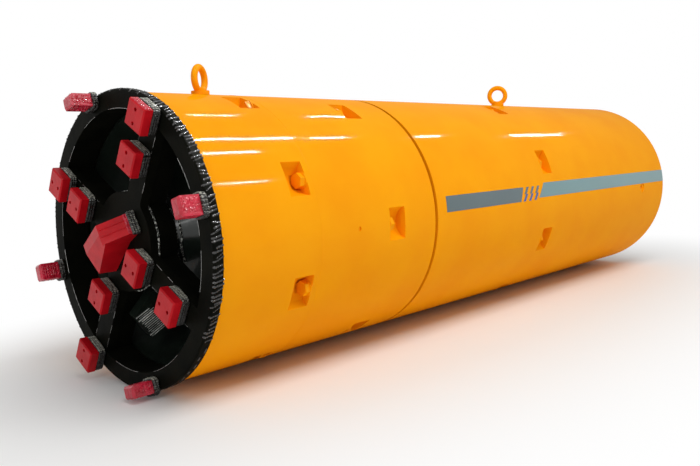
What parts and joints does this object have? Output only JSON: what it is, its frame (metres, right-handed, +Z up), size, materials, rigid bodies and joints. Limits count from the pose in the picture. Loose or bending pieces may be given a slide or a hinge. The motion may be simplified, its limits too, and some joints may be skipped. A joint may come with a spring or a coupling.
{
  "type": "tunnel boring machine",
  "caption": "Pipe-jacking tunnel boring machine: a round shield with a spoked cutting wheel, crusher cone, steering joint and rear slurry lines.",
  "frame": {"origin": "middle of the machine's length and width, on the floor under it", "axes": "+X the driving direction toward the cutting wheel, +Y the machine's left, +Z up"},
  "size_m": [3.468, 1, 1.0993],
  "materials": {
    "shield_yellow": "gloss",
    "bolt_yellow": "gloss",
    "eye_yellow": "gloss",
    "hatch_yellow": "satin",
    "wheel_black": "gloss",
    "chamber_black": "gloss",
    "bit_red": "gloss",
    "holder_steel": "rough",
    "bare_steel": "machined",
    "coupling_brass": "machined",
    "port_glass": "gloss",
    "drive_grey": "satin",
    "bulkhead_grey": "satin",
    "pipe_blue": "gloss",
    "pipe_grey": "gloss"
  },
  "bodies": {
    "cutting_wheel": {"wheel_rim": "wheel_black", "wheel_spokes": "wheel_black", "scraper_bits": "bit_red", "scraper_holders": "holder_steel", "gauge_bits": "bit_red", "gauge_holders": "holder_steel", "centre_bit": "bit_red", "crusher_cone": "wheel_black", "crusher_arms": "wheel_black", "main_shaft": "bare_steel"},
    "front_shield": {"front_skin": "shield_yellow", "drive_skin": "shield_yellow", "pocket_tubs_seam_1": "shield_yellow", "pocket_tubs_drive": "shield_yellow", "pocket_bolts_seam_1": "bolt_yellow", "pocket_bolts_drive": "bolt_yellow", "grease_port_plugs": "eye_yellow", "crusher_ring": "chamber_black", "front_bulkhead": "chamber_black", "main_drive": "drive_grey", "yaw_lugs": "bare_steel", "front_lifting_eye": "eye_yellow"},
    "gimbal": {"gimbal_ring": "bare_steel", "gimbal_pins": "bare_steel"},
    "rear_shield": {"rear_skin": "shield_yellow", "tail_skin": "shield_yellow", "pocket_tubs_seam_3": "shield_yellow", "pocket_bolts_seam_3": "bolt_yellow", "grout_port_plugs": "eye_yellow", "pitch_lugs": "bare_steel", "rear_lifting_eye": "eye_yellow", "tail_ring": "shield_yellow", "rear_bulkhead": "bulkhead_grey", "laser_port_frame": "bare_steel", "laser_port_glass": "port_glass", "hatch_cover": "hatch_yellow", "service_plate": "bare_steel", "service_couplings": "coupling_brass", "power_pack": "drive_grey", "power_saddles": "chamber_black", "slurry_feed_pipe": "pipe_blue", "slurry_return_pipe": "pipe_grey"}
  },
  "joints": [
    {"name": "steer_pitch", "type": "hinge", "parent": "rear_shield", "child": "gimbal", "pos_m": [0.572, 0, 0.5], "axis": [0, 1, 0], "range_deg": [-1, 1]},
    {"name": "steer_yaw", "type": "hinge", "parent": "gimbal", "child": "front_shield", "pos_m": [0.572, 0, 0.5], "axis": [0, 0, 1], "range_deg": [-1, 1]},
    {"name": "wheel_spin", "type": "hinge", "parent": "front_shield", "child": "cutting_wheel", "pos_m": [1.596, 0, 0.5], "axis": [1, 0, 0], "continuous": true}
  ]
}
